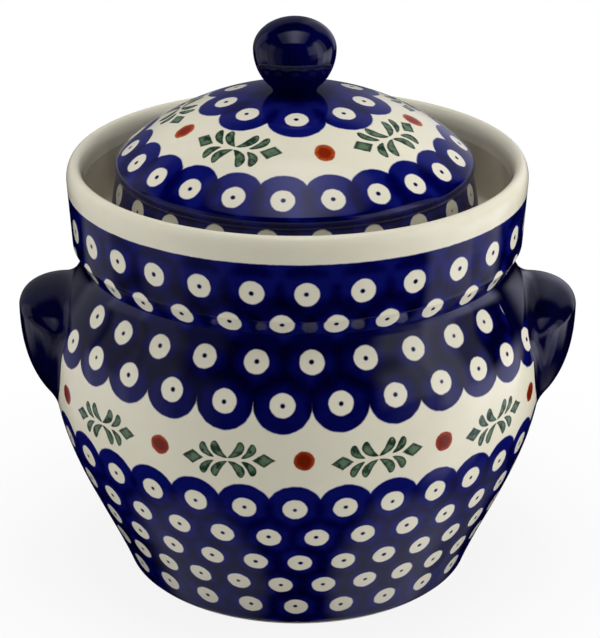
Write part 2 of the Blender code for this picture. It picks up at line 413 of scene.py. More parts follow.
class WarePlace:
    """Where a shading point is on turned ware, in millimetres and degrees from the front."""

    def __init__(self, sketch: ShaderSketch) -> None:
        """Work out the place from the piece's own coordinates.

        Args:
            sketch: The material's node tree.
        """
        coordinates = sketch.node("ShaderNodeTexCoord")
        self.sketch = sketch
        self.point = sketch.scaled(coordinates.outputs["Object"], MILLIMETRES)
        across, deep, self.height = sketch.parts(self.point)
        self.radians = sketch.maths("ARCTAN2", across, -deep)
        self.angle = self.radians * DEGREES
        self.radius = (across * across + deep * deep).root()
        self.ragged = sketch.cloud(self.point, *RAGGED_NOISE) - 0.5
        self.grain = sketch.cloud(self.point, *GRAIN_NOISE)
        self.patches = sketch.cloud(self.point, *PATCH_NOISE)


@dataclass(frozen=True)
class StampRow:
    """A row of stamps round the ware, with the drift of a hand that sets them by eye.

    sway, lean and ripple turn the stamps by degrees once, twice and three times in a round.
    tilt and dip move them up and down by millimetres twice and four times in a round.
    """

    radius: float
    height: float
    count: int
    start: float
    sway: float = 0.0
    lean: float = 0.0
    ripple: float = 0.0
    tilt: float = 0.0
    dip: float = 0.0
    dip_turn: float = 0.0
    press: float = 1.0

    @property
    def spacing(self) -> float:
        """Angle from one stamp to the next."""
        return 360.0 / self.count

    def drift(self, radians: Signal) -> Number:
        """Return how far the hand has drifted at an angle, in degrees."""
        drift: Number = 0.0
        if self.sway:
            drift = radians.sine() * self.sway + drift
        if self.lean:
            drift = (radians * 2.0).cosine() * self.lean + drift
        if self.ripple:
            drift = (radians * 3.0).sine() * self.ripple + drift
        return drift

    def lift(self, index: Signal) -> Number:
        """Return how far the hand has strayed upwards at a stamp, in millimetres."""
        radians = self._evenly(index) * RADIANS
        lift: Number = 0.0
        if self.tilt:
            lift = (radians * 2.0).sine() * self.tilt + lift
        if self.dip:
            turned = radians * 4.0 + math.radians(self.dip_turn)
            lift = turned.cosine() * -self.dip + lift
        return lift

    def _evenly(self, index: Signal) -> Signal:
        """Return the angle at which a stamp would be without any drift."""
        return index * self.spacing + self.start

    def nearest(self, place: WarePlace) -> Signal:
        """Return how many spacings a point lies from the row's first stamp."""
        return (place.angle - self.start - self.drift(place.radians)) / self.spacing

    def away(self, place: WarePlace, index: Signal) -> Signal:
        """Return how many degrees a point lies from one stamp's middle.

        Args:
            place: The point on the ware.
            index: The stamp's number in the row.

        Returns:
            The angle.
        """
        evenly = self._evenly(index)
        return place.angle - evenly - self.drift(evenly * RADIANS)


@dataclass(frozen=True)
class StampMarks:
    """What a row of sponge stamps leaves: its paint, how deep it lies, bare eyes and pupils."""

    paint: Signal
    layers: Signal
    eye: Signal
    pupil: Signal


@dataclass(frozen=True)
class SpongeStamp:
    """A round sponge that prints a blue disc with a bare eye and a small pupil."""

    disc: float = 13.7
    disc_edge: float = 0.5
    soak: float = 15.0
    soak_edge: float = 3.0
    eye: float = 5.75
    eye_edge: float = 0.45
    pupil: float = 1.2
    pupil_edge: float = 0.45
    raggedness: float = 0.8
    slip: float = 0.35
    pupil_slip: float = 0.8

    def distance(self, place: WarePlace, row: StampRow, index: Signal) -> Signal:
        """Return how far a point is from one stamp's middle.

        Args:
            place: The point on the ware.
            row: The row of stamps.
            index: The stamp's number in the row.

        Returns:
            The distance in millimetres.
        """
        side, rise, _ = place.sketch.luck(index.wrapped(row.count) + row.height)
        slip_angle = math.degrees(self.slip / row.radius)
        return self._reach(place, row, row.away(place, index) + side * slip_angle,
                           rise * self.slip - row.lift(index))

    @staticmethod
    def _reach(place: WarePlace, row: StampRow, turned: Signal, raised: Signal) -> Signal:
        """Return the distance from a point to a place near a stamp's middle.

        Args:
            place: The point on the ware.
            row: The row of stamps.
            turned: How far the place is turned from it, in degrees.
            raised: How far it is raised, in millimetres.

        Returns:
            The distance in millimetres.
        """
        chord = (turned * (RADIANS / 2.0)).sine()
        out = place.radius - row.radius
        up = place.height - row.height + raised
        return (chord * chord * place.radius * (4.0 * row.radius) + out * out + up * up).root()

    def print_row(self, place: WarePlace, row: StampRow) -> StampMarks:
        """Print a row of stamps.

        Args:
            place: The point on the ware.
            row: The row of stamps.

        Returns:
            The row's marks at that point.
        """
        sketch = place.sketch
        turns = row.nearest(place)
        index = turns.rounded()
        beside = (turns - index).sign()
        ragged = place.ragged * self.raggedness
        nearest = self.distance(place, row, index) + ragged
        next_one = self.distance(place, row, index + beside) + ragged
        paint = sketch.inside(nearest.least(next_one), self.disc, self.disc_edge)
        soaked = self.soak * row.press
        layers = (sketch.inside(nearest, soaked, self.soak_edge)
                  + sketch.inside(next_one, soaked, self.soak_edge))
        eye = sketch.inside(nearest, self.eye, self.eye_edge)
        side, rise, _ = sketch.luck(index.wrapped(row.count) + row.height + 0.5)
        pupil_turn = row.away(place, index) + side * math.degrees(self.pupil_slip / row.radius)
        pupil = self._reach(place, row, pupil_turn, rise * self.pupil_slip - row.lift(index))
        pupil = sketch.inside(pupil + ragged * 0.5, self.pupil, self.pupil_edge)
        return StampMarks(paint, layers, eye, pupil)


@dataclass(frozen=True)
class Band:
    """A brushed band of blue between two heights or two radii.

    With a depth it adds no paint and only deepens what is there; on the lid one such band is
    painted shade and a painted reflection round the knob's foot.
    """

    along: Direction
    first: float
    last: float
    edge: float = 0.35
    depth: float = 0.0

    def cover(self, place: WarePlace) -> Signal:
        """Return how much of the band's blue lies at a point."""
        measure = place.height if self.along is Direction.UP else place.radius
        wavy = measure + place.ragged * BRUSH_WANDER
        return place.sketch.between(wavy, self.first, self.last, self.edge)


@dataclass(frozen=True)
class LeafShape:
    """One leaf of a sprig: a bent drop from its stalk end to its round end."""

    stalk: Point
    tip: Point
    bow: float
    half_width: float
    taper: float = 0.6
    bluntness: float = 5.0
    fullness: float = 1.34
    stalk_share: float = 0.02
    tip_share: float = 0.999

    def margin(self, along: Signal, across: Signal) -> Signal:
        """Return how far outside the leaf a folded place is, below 0 within it.

        Args:
            along: Distance from the sprig's middle along it, without its sign.
            across: Distance from its axis, without its sign.

        Returns:
            The distance in millimetres.
        """
        span = (self.tip[0] - self.stalk[0], self.tip[1] - self.stalk[1])
        length = math.hypot(*span)
        unit = (span[0] / length, span[1] / length)
        ahead, beside = along - self.stalk[0], across - self.stalk[1]
        from_stalk = (ahead * unit[0] + beside * unit[1]) / length
        aside = ahead * unit[1] - beside * unit[0]
        bend = from_stalk * (1.0 - from_stalk) * (4.0 * self.bow)
        share = from_stalk.most(self.stalk_share).least(self.tip_share)
        rounding = (1.0 - share ** self.bluntness).root()
        width = (share ** self.taper) * rounding * (self.fullness * self.half_width)
        beyond = (abs(from_stalk - 0.5) - 0.5).most(0.0) * (2.0 * length)
        return abs(aside - bend) - width + beyond


@dataclass(frozen=True)
class SprigStamp:
    """A green sprig: four pairs of leaves folded about its middle and two end buds."""

    inner: LeafShape = LeafShape((0.4, 0.9), (7.1, 8.9), 1.35, 2.3)
    outer: LeafShape = LeafShape((6.9, 0.9), (12.8, 7.9), 1.2, 2.1)
    bud_place: float = 17.3
    bud_length: float = 5.3
    bud_height: float = 3.6
    bud_slope: float = 2.7
    raggedness: float = 0.8

    def margin(self, place: WarePlace, along: Signal, across: Signal) -> Signal:
        """Return how far outside the sprig a place measured from its middle is."""
        far = abs(along)
        high = abs(across)
        bud = abs(far - self.bud_place) / self.bud_length + high / self.bud_height - 1.0
        leaves = self.inner.margin(far, high).least(self.outer.margin(far, high))
        return leaves.least(bud * self.bud_slope) + place.ragged * self.raggedness


@dataclass(frozen=True)
class BerrySprigRow:
    """A row of green sprigs with a red berry between each two."""

    sprigs: StampRow
    berries: StampRow
    level: Direction
    slope: float = 0.0
    berry: float = 4.9
    size: float = 1.0
    slip: Point = (0.8, 0.6)
    stamp: SprigStamp = SprigStamp()

    def _offset(self, place: WarePlace, row: StampRow) -> tuple[Signal, Signal]:
        """Return a point's distances along and across from the nearest mark of a row."""
        index = row.nearest(place).rounded()
        side, rise, _ = place.sketch.luck(index.wrapped(row.count) + row.height)
        along = row.away(place, index) * RADIANS * place.radius + side * self.slip[0]
        if self.level is Direction.UP:
            across = place.height - row.height
        else:
            across = row.radius - place.radius
        return along, across + rise * self.slip[1]

    def greens(self, place: WarePlace) -> Signal:
        """Return how far outside the sprigs a point is."""
        along, across = self._offset(place, self.sprigs)
        level, share = across - along * self.slope, 1.0 / self.size
        return self.stamp.margin(place, along * share, level * share)

    def reds(self, place: WarePlace) -> Signal:
        """Return how far outside the berries a point is."""
        along, across = self._offset(place, self.berries)
        return (along * along + across * across).root() + place.ragged - self.berry


@dataclass(frozen=True)
class GlazeColours:
    """Colours of the clear glaze over bare body and underglaze paints, in linear light."""

    cream: Colour = (0.78, 0.75, 0.61)
    cream_warm: Colour = (0.75, 0.705, 0.56)
    wash: Colour = (0.12, 0.15, 0.45)
    cobalt: Colour = (0.0040, 0.0060, 0.118)
    navy: Colour = (0.0010, 0.0012, 0.056)
    deepest: Colour = (0.0004, 0.0004, 0.017)
    berry: Colour = (0.15, 0.012, 0.002)
    berry_thin: Colour = (0.33, 0.038, 0.007)
    leaf: Colour = (0.014, 0.036, 0.022)
    leaf_thin: Colour = (0.115, 0.180, 0.115)


@dataclass(frozen=True)
class GlossCoat:
    """The clear fired coat: its gloss and the slight waviness of its surface.

    With full_from, in millimetres above the foot, the gloss is less below that height: painted
    shade, which takes the reflections off an underside that lies in shade.
    """

    roughness: float = 0.03
    roughness_spread: float = 0.04
    wave_size: float = 28.0
    wave_depth: float = 0.00035
    index: float = 1.45
    full_from: float | None = None
    full_fade: float = 4.0
    shaded_foot_gloss: float = 0.22
    patch_scale: float = 0.05
    relief_depth: float = 0.00002
    relief_strength: float = 0.5

    def finish(self, place: WarePlace, colour: bpy.types.NodeSocket, relief: Signal) -> None:
        """Lay the coat over a colour and end the material.

        Args:
            place: The point on the ware.
            colour: The painted body's colour.
            relief: A fine relief under the coat.
        """
        sketch = place.sketch
        patches = sketch.cloud(place.point, self.patch_scale, 3.0)
        waves = sketch.cloud(place.point, 1.0 / self.wave_size, 1.0)
        normal = sketch.bumped(relief, self.relief_depth, self.relief_strength,
                               sketch.bumped(waves, self.wave_depth))
        inputs = {"Base Color": colour, "IOR": self.index, "Normal": normal,
                  "Roughness": patches * self.roughness_spread + self.roughness}
        # Less coat below full_from is painted shade: it dims the reflections where the underside
        # is shaded.
        if self.full_from is not None:
            full = sketch.ramped(place.height, self.full_from - self.full_fade, self.full_from)
            weight = full * (1.0 - self.shaded_foot_gloss) + self.shaded_foot_gloss
            inputs.update({"IOR": 1.0, "Coat IOR": self.index, "Coat Roughness": self.roughness,
                           "Coat Weight": weight, "Coat Normal": normal})
        shader = sketch.node("ShaderNodeBsdfPrincipled", inputs=inputs)
        sketch.node("ShaderNodeOutputMaterial", inputs={"Surface": shader.outputs[0]})


@dataclass(frozen=True)
class DecoratedGlaze:
    """Cream ware with rows of sponge stamps, brushed bands and berry sprigs under a clear glaze.

    bare_below is the height of the bare foot line. plain_sides is the sine of the angle from
    the front, and the height, past which there are no eyes, because the lugs are luted there.
    """

    name: str
    rows: tuple[StampRow, ...]
    bands: tuple[Band, ...] = ()
    sprigs: tuple[BerrySprigRow, ...] = ()
    bare_below: float = -100.0
    plain_sides: Point | None = None
    plain_edges: Point = (0.004, 1.0)
    grain_share: float = 0.35
    patch_share: float = 0.5
    pupil_depth: float = 0.9
    full_layers: float = 3.0
    tone_stops: tuple[float, ...] = (0.0, 0.12, 0.28, 0.52, 0.80)
    stamp: SpongeStamp = SpongeStamp()
    colours: GlazeColours = GlazeColours()
    coat: GlossCoat = GlossCoat()

    def material(self) -> bpy.types.Material:
        """Return the glaze as a material."""
        material, sketch = new_material(self.name)
        place = WarePlace(sketch)
        paint: Number = 0.0
        layers: Number = 0.0
        eyes: Number = 0.0
        pupils: Number = 0.0
        for row in self.rows:
            marks = self.stamp.print_row(place, row)
            paint, layers = marks.paint + paint, marks.layers + layers
            eyes, pupils = marks.eye + eyes, marks.pupil + pupils
        for band in self.bands:
            # A band with a depth deepens the blue; the lid's band round the knob's foot is painted
            # shade and a painted reflection.
            if band.depth:
                layers = band.cover(place) * band.depth + layers
            else:
                paint = band.cover(place) + paint
        if self.plain_sides:
            sideways, above = self.plain_sides
            turned_edge, upper_edge = self.plain_edges
            plain = (sketch.ramped(abs(place.radians.sine()), sideways, sideways + turned_edge)
                     * sketch.ramped(place.height, above - upper_edge, above))
            eyes, pupils, layers = eyes * (1.0 - plain), pupils * (1.0 - plain), layers + plain
        dipped = sketch.ramped(place.height + place.ragged * BRUSH_WANDER,
                               self.bare_below, self.bare_below + 0.5)
        ink = (paint.clamped() * (1.0 - eyes.clamped()) + pupils).clamped() * dipped
        mottle = (place.grain * self.grain_share + place.patches * self.patch_share
                  + (1.0 - (self.grain_share + self.patch_share) / 2.0))
        depth = (layers - 1.0).most(0.0) + pupils * self.pupil_depth + 1.0
        colour = self._blue_over_cream(place, ink, ink * depth * mottle / self.full_layers)
        for sprig_row in self.sprigs:
            colour = self._berry_sprigs(place, sprig_row, colour)
        self.coat.finish(place, colour, ink)
        return material

    def _blue_over_cream(self, place: WarePlace, ink: Signal,
                         depth: Signal) -> bpy.types.NodeSocket:
        """Return the colour of layers of blue over cream.

        Args:
            place: The point on the ware.
            ink: Where there is blue, from 0 to 1.
            depth: How deep it lies, 1 where all its layers overlap; on the lid it also holds
                painted shade round the knob's foot.

        Returns:
            The colour.
        """
        sketch, tones = place.sketch, self.colours
        cream = sketch.blend(place.patches, tones.cream_warm, tones.cream)
        blues = (tones.wash, tones.wash, tones.cobalt, tones.navy, tones.deepest)
        ramp = sketch.node("ShaderNodeValToRGB", {"stops": tuple(zip(self.tone_stops, blues))},
                           {0: depth})
        return sketch.blend(ink, cream, ramp.outputs[0])

    def _berry_sprigs(self, place: WarePlace, row: BerrySprigRow,
                      under: bpy.types.NodeSocket) -> bpy.types.NodeSocket:
        """Print a row of sprigs and berries on a colour.

        Args:
            place: The point on the ware.
            row: The row of sprigs.
            under: The colour under it.

        Returns:
            The colour with the row on it.
        """
        sketch, tones = place.sketch, self.colours
        worn = sketch.ramped(place.ragged, *WORN_NOISE)
        greens, reds = row.greens(place), row.reds(place)
        green_thins = sketch.ramped(greens, *LEAF_HEART) * worn
        red_thins = sketch.ramped(reds, *BERRY_HEART) * (worn * 0.5 + 0.5)
        green = sketch.blend(green_thins, tones.leaf, tones.leaf_thin)
        red = sketch.blend(red_thins, tones.berry, tones.berry_thin)
        printed = sketch.blend(sketch.ramped(greens, *LEAF_RIM), under, green)
        return sketch.blend(sketch.ramped(reds, *BERRY_RIM), printed, red)


@dataclass(frozen=True)
class PlainGlaze:
    """One glaze colour that pools and thins a little over a piece."""

    name: str
    deep: Colour
    thin: Colour
    patch_size: float = 22.0
    patch_detail: Point = (3.0, 0.6)
    grain_share: float = 0.3
    pooling: Point = (0.30, 0.72)
    coat: GlossCoat = GlossCoat()

    def material(self) -> bpy.types.Material:
        """Return the glaze as a material."""
        material, sketch = new_material(self.name)
        place = WarePlace(sketch)
        pooled = sketch.cloud(place.point, 1.0 / self.patch_size, *self.patch_detail)
        pooled = pooled * (1.0 - self.grain_share) + place.grain * self.grain_share
        colour = sketch.blend(sketch.ramped(pooled, *self.pooling), self.deep, self.thin)
        self.coat.finish(place, colour, place.grain)
        return material


@dataclass(frozen=True)
class BareClay:
    """Unglazed fired clay with sandy grain."""

    name: str
    light: Colour = (0.60, 0.53, 0.42)
    dark: Colour = (0.42, 0.35, 0.26)
    roughness: float = 0.72
    roughness_spread: float = 0.18
    sand_share: float = 0.4
    patching: Point = (0.3, 0.7)
    speckling: Point = (0.66, 0.74)
    relief_depth: float = 0.00025
    relief_strength: float = 0.7

    def material(self) -> bpy.types.Material:
        """Return the clay as a material."""
        material, sketch = new_material(self.name)
        place = WarePlace(sketch)
        sand = sketch.cloud(place.point, *SAND_NOISE)
        specks = sketch.ramped(sketch.cloud(place.point, *SPECK_NOISE), *self.speckling)
        patchy = place.patches * (1.0 - self.sand_share) + sand * self.sand_share
        colour = sketch.blend(sketch.ramped(patchy, *self.patching), self.light, self.dark)
        colour = sketch.blend(specks * 0.5, colour, self.dark)
        shader = sketch.node("ShaderNodeBsdfPrincipled", inputs={
            "Base Color": colour, "Roughness": sand * self.roughness_spread + self.roughness,
            "Normal": sketch.bumped(sand, self.relief_depth, self.relief_strength)})
        sketch.node("ShaderNodeOutputMaterial", inputs={"Surface": shader.outputs[0]})
        return material


# Turning and shaping


def arc(centre: Point, half_axes: Point, first: float, last: float, steps: int) -> list[Point]:
    """Return points (radius, height) on an ellipse.

    Args:
        centre: Its centre.
        half_axes: Its half axes.
        first: The first angle in degrees.
        last: The last angle in degrees.
        steps: How many pieces the arc is cut into.

    Returns:
        The points, ends included.
    """
    angles = [math.radians(angle) for angle in spread(first, last, steps)]
    return [(centre[0] + half_axes[0] * math.cos(a), centre[1] + half_axes[1] * math.sin(a))
            for a in angles]


def spread(first: float, last: float, steps: int) -> list[float]:
    """Return evenly spaced numbers from first to last."""
    return [first + (last - first) * step / steps for step in range(steps + 1)]


@dataclass
class Outline:
    """A closed outline for the lathe, in stretches that each have one finish."""

    points: list[Point] = field(default_factory=list)
    finishes: list[int] = field(default_factory=list)

    def run(self, points: Sequence[Point], finish: int) -> None:
        """Add a stretch of points whose faces take a finish by its number."""
        self.points.extend(points)
        self.finishes.extend([finish] * len(points))


def turn(name: str, outline: Outline, materials: Sequence[bpy.types.Material],
         middle: Point = (0.0, 0.0), segments: int = LATHE_SEGMENTS) -> bpy.types.Object:
    """Turn an outline round an upright axis into a closed, smooth piece.

    Args:
        name: The piece's name.
        outline: A closed loop, or an open line whose two ends lie on the axis.
        materials: The finishes that the outline numbers.
        middle: Where the axis stands.
        segments: How many steps make a full turn.

    Returns:
        The new object.
    """
    shape = bmesh.new()
    uv_layer = shape.loops.layers.uv.new("unrolled")
    places: list[float] = [0.0]
    for first, second in zip(outline.points, outline.points[1:]):
        places.append(places[-1] + math.dist(first, second))
    turns = [2.0 * math.pi * (step / segments - 0.5) for step in range(segments)]
    rings = []
    for radius, height in outline.points:
        if radius < ON_AXIS:
            rings.append([shape.verts.new((0.0, 0.0, height))])
        else:
            rings.append([shape.verts.new((radius * math.sin(a), -radius * math.cos(a), height))
                          for a in turns])
    count = len(rings)
    last = count if len(rings[0]) > 1 else count - 1
    for row in range(last):
        lower, upper = rings[row], rings[(row + 1) % count]
        closing = places[row] + CLOSING_STRIP
        ends = (places[row], places[row + 1] if row + 1 < count else closing)
        for step in range(segments):
            square = ((lower, step, ends[0]), (lower, step + 1, ends[0]),
                      (upper, step + 1, ends[1]), (upper, step, ends[1]))
            corners = [(ring[turned % len(ring)], turned, along) for ring, turned, along in square]
            kept = [corner for number, corner in enumerate(corners)
                    if corner[0] not in [other[0] for other in corners[:number]]]
            face = shape.faces.new([corner[0] for corner in kept])
            face.material_index = outline.finishes[row]
            face.smooth = True
            for loop, corner in zip(face.loops, kept):
                loop[uv_layer].uv = (corner[1] / segments, corner[2])
    bmesh.ops.recalc_face_normals(shape, faces=shape.faces)
    item = finished_object(name, shape, materials)
    item.location = (middle[0], middle[1], 0.0)
    return item


def finished_object(name: str, shape: bmesh.types.BMesh, materials: Sequence[bpy.types.Material],
                    sharp: float = 40.0) -> bpy.types.Object:
    """Turn a bmesh into a linked object with its materials.

    Args:
        name: The object's name.
        shape: The bmesh, which is freed.
        materials: Its materials in order.
        sharp: The angle in degrees above which an edge stays sharp.

    Returns:
        The object.
    """
    mesh = bpy.data.meshes.new(name)
    shape.to_mesh(mesh)
    shape.free()
    mesh.shade_smooth()
    mesh.set_sharp_from_angle(angle=math.radians(sharp))
    for material in materials:
        mesh.materials.append(material)
    item = bpy.data.objects.new(name, mesh)
    bpy.context.scene.collection.objects.link(item)
    return item


# Pieces, in metres


@dataclass
class Pot:
    """The pot: foot ring, belly, shoulder and the neck inside the gutter."""

    foot_radius: float = 0.0885
    foot_rounding: float = 0.0015
    foot_ring: float = 0.012
    foot_recess: float = 0.0025
    foot_bend: Point = (0.35, 0.3)
    foot_flare: float = 0.36
    belly_radius: float = 0.1245
    belly_height: float = 0.104
    waist_radius: float = 0.1075
    waist_height: float = 0.1651
    fullness: float = 1.95
    wall: float = 0.0075
    floor: float = 0.009
    floor_corner: float = 0.012
    neck_radius: float = 0.079
    neck_wall: float = 0.0065
    neck_top: float = 0.2034

    def radius_at(self, height: float) -> float:
        """Return the pot's outer radius at a height between foot and waist."""
        if height <= self.belly_height:
            t = height / self.belly_height
            from_foot = 2.0 * t ** 3 - 3.0 * t ** 2 + 1.0
            flare = (t ** 3 - 2.0 * t ** 2 + t) * self.belly_height * self.foot_flare
            return from_foot * self.foot_radius + flare + (1.0 - from_foot) * self.belly_radius
        t = min((height - self.belly_height) / (self.waist_height - self.belly_height), 1.0)
        ease = 0.5 * (1.0 + math.cos(math.pi * t ** self.fullness))
        return self.waist_radius + (self.belly_radius - self.waist_radius) * ease

    def outline(self) -> Outline:
        """Return the pot's outline: 0 is decorated, 1 is the plain inside, 2 the bare foot."""
        made = Outline()
        recess = self.foot_radius - self.foot_rounding - self.foot_ring
        made.run([(0.0, self.foot_recess), (recess, self.foot_recess),
                  (recess + self.foot_recess, 0.0), (self.foot_radius - self.foot_rounding, 0.0),
                  (self.foot_radius - self.foot_rounding * self.foot_bend[0],
                   self.foot_rounding * self.foot_bend[1])], 2)
        rising = (spread(self.foot_rounding, self.belly_height, 44)
                  + spread(self.belly_height, self.waist_height, 34)[1:])
        made.run([(self.radius_at(z), z) for z in rising], 0)
        half, wall, rounding = self.neck_wall / 2.0, self.wall, self.floor_corner
        neck = (self.neck_radius - half, self.neck_top - half)
        made.run([(self.neck_radius, self.waist_height)], 1)
        made.run(arc(neck, (half, half), 0.0, 180.0, 12), 1)
        ceiling = self.waist_height - wall
        bore = self.neck_radius - self.neck_wall
        made.run(arc((bore + wall, ceiling + wall), (wall, wall), 180.0, 270.0, 8), 1)
        inner_top, low = ceiling - rounding, self.floor + rounding
        upper = (self.radius_at(inner_top) - wall - rounding, inner_top)
        made.run(arc(upper, (rounding, rounding), 90.0, 0.0, 8), 1)
        made.run([(self.radius_at(z) - wall, z) for z in spread(inner_top, low, 40)[1:-1]], 1)
        lower = (self.radius_at(low) - wall - rounding, low)
        made.run(arc(lower, (rounding, rounding), 0.0, -90.0, 8), 1)
        made.run([(0.0, self.floor)], 1)
        return made

    @staticmethod
    def decoration() -> DecoratedGlaze:
        """Return the pot's painted glaze."""
        return DecoratedGlaze(
            "pot_glaze",
            rows=(StampRow(112.0, 153.4, 29, 3.2, ripple=0.9, tilt=1.0, dip=0.15),
                  StampRow(121.1, 136.9, 30, -3.85, sway=0.4, lean=0.9, ripple=1.1,
                           dip=1.3, dip_turn=24.0),
                  StampRow(122.3, 82.2, 33, -1.3, sway=1.3, lean=0.8, press=0.90),
                  StampRow(116.4, 64.0, 33, 4.35, sway=1.4, press=0.88),
                  StampRow(108.8, 46.6, 32, -0.8, sway=-0.6, lean=1.4, press=0.88),
                  StampRow(100.7, 30.3, 32, -4.2, lean=-0.3, ripple=1.0, press=0.88),
                  StampRow(93.6, 13.8, 25, -0.5, sway=-0.8, ripple=-0.6, press=0.90)),
            bands=(Band(Direction.UP, 137.0, 175.0),
                   Band(Direction.UP, 157.0, 175.0, 3.0, 0.8),
                   Band(Direction.UP, 118.0, 160.0, 4.0, 0.35),
                   Band(Direction.UP, -5.0, 83.0),
                   Band(Direction.UP, -5.0, 7.5, 2.0, 0.9)),
            bare_below=1.5, plain_sides=(0.884, 143.5),
            sprigs=(BerrySprigRow(StampRow(123.6, 107.8, 11, -15.5, sway=0.3, lean=0.6),
                                  StampRow(123.6, 109.1, 11, 1.0, sway=0.5, lean=0.4, ripple=-0.7),
                                  Direction.UP, slope=0.055),))

    def build(self, inside: bpy.types.Material, foot: bpy.types.Material) -> bpy.types.Object:
        """Turn and dress the pot.

        Args:
            inside: The plain glaze inside.
            foot: The bare clay of the foot.

        Returns:
            The pot.
        """
        pot = turn("pot", self.outline(), (self.decoration().material(), inside, foot))
        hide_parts("crock_body")
        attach(pot, "crock")
        return pot


@dataclass
class GutterCollar:
    """The collar on the shoulder that holds the sealing water round the neck."""

    base: float = 0.1654
    inner_radius: float = 0.0793
    foot_radius: float = 0.1075
    radius: float = 0.114
    wall: float = 0.008
    taper: float = 0.0018
    corner_rise: float = 0.009
    corner_rounding: float = 0.0022
    corner_arc: Point = (-50.0, 5.0)
    lip_height: float = 0.2145
    lip_crown: float = 0.008
    plain_below_lip: Point = (0.004, 0.006)
    floor_height: float = 0.1739
    floor_corner: float = 0.005

    def outline(self) -> Outline:
        """Return the collar's outline: 0 is decorated, 1 is the plain gutter."""
        made = Outline()
        made.run([(self.inner_radius, self.base)], 1)
        made.run([(self.foot_radius, self.base)], 0)
        corner = (self.radius - self.taper - self.corner_rounding, self.base + self.corner_rise)
        made.run(arc(corner, (self.corner_rounding, self.corner_rounding), *self.corner_arc, 6), 0)
        lip = (self.radius - self.wall / 2.0, self.lip_height - self.lip_crown)
        low = (corner[0] + self.corner_rounding, corner[1])
        made.run([(low[0] + (self.radius - low[0]) * share, low[1] + (lip[1] - low[1]) * share)
                  for share in spread(0.0, 1.0, 14)[1:-1]], 0)
        made.run(arc(lip, (self.wall / 2.0, self.lip_crown), 0.0, 180.0, 28), 0)
        inner, rounding = self.radius - self.wall, self.floor_corner
        bottom = (inner - rounding, self.floor_height + rounding)
        first, second = (lip[1] - below for below in self.plain_below_lip)
        made.run([(inner, first)], 1)
        made.run([(inner, z) for z in spread(second, bottom[1], 8)[:-1]], 1)
        made.run(arc(bottom, (rounding, rounding), 0.0, -90.0, 8), 1)
        made.run([(self.inner_radius, self.floor_height)], 1)
        return made

    @staticmethod
    def decoration() -> DecoratedGlaze:
        """Return the collar's painted glaze."""
        return DecoratedGlaze(
            "collar_glaze",
            rows=(StampRow(112.9, 188.0, 29, 3.15, sway=1.7, lean=-1.0, ripple=0.3, dip=0.6),
                  StampRow(110.8, 171.1, 29, -3.0, sway=-0.8, lean=-0.5, ripple=1.0)),
            bands=(Band(Direction.UP, 160.0, 202.0), Band(Direction.UP, 196.0, 210.0, 3.0, 0.8)),
            stamp=SpongeStamp(disc=13.0, soak=14.5))

    def build(self, inside: bpy.types.Material) -> bpy.types.Object:
        """Turn and dress the collar.

        Args:
            inside: The plain glaze of the gutter.

        Returns:
            The collar.
        """
        collar = turn("collar", self.outline(), (self.decoration().material(), inside))
        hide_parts("gutter_collar")
        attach(collar, "crock")
        return collar


